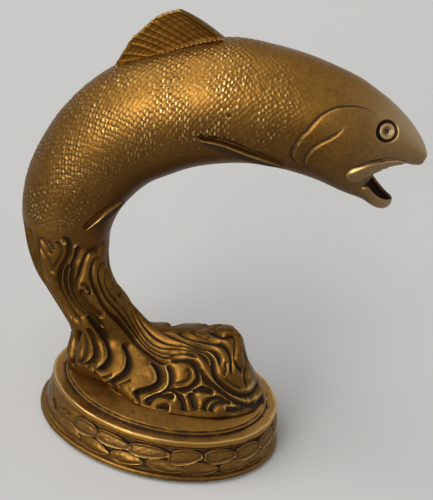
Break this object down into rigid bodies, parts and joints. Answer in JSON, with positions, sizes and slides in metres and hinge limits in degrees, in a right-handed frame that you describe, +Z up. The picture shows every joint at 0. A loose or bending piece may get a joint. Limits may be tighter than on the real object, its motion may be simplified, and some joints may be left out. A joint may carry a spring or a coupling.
{
  "type": "fishing trophy",
  "caption": "Brass trophy figure of a leaping trout arching out of swirling water, on an oval plinth with a band of laurel leaves and a felt base.",
  "frame": {"origin": "centre of the oval underside, on the surface that the trophy stands on", "axes": "+Z up, +X along the plinth towards the fish's head, -Y towards the fish's right flank"},
  "size_m": [0.1076, 0.061, 0.1305],
  "materials": {
    "felt": "pressed wool felt",
    "plate": "sawn sheet, unpolished",
    "band_brass": "cast, antiqued brown in the recesses, leaves rubbed bright",
    "plinth_brass": "cast, antiqued, mouldings rubbed bright",
    "water_brass": "cast, dark in the grooves, strands rubbed bright",
    "fish_brass": "cast scales, antiqued, satin",
    "fin_brass": "cast rays, antiqued, edges rubbed bright",
    "eye_brass": "cast, dark in the dimple",
    "steel": "zinc plated"
  },
  "bodies": {
    "root": {"felt_pad": "felt", "base_plate": "plate", "leaf_band": "band_brass", "plinth_cap": "plinth_brass", "water_column": "water_brass", "tie_rod": "steel", "washer": "steel", "nut": "steel", "locating_pins": "steel", "fish_body": "fish_brass", "lower_jaw": "fish_brass", "dorsal_fin": "fin_brass", "pectoral_fin_right": "fin_brass", "pectoral_fin_left": "fin_brass", "pelvic_fin_right": "fin_brass", "pelvic_fin_left": "fin_brass", "eye_right": "eye_brass", "eye_left": "eye_brass"}
  },
  "joints": []
}
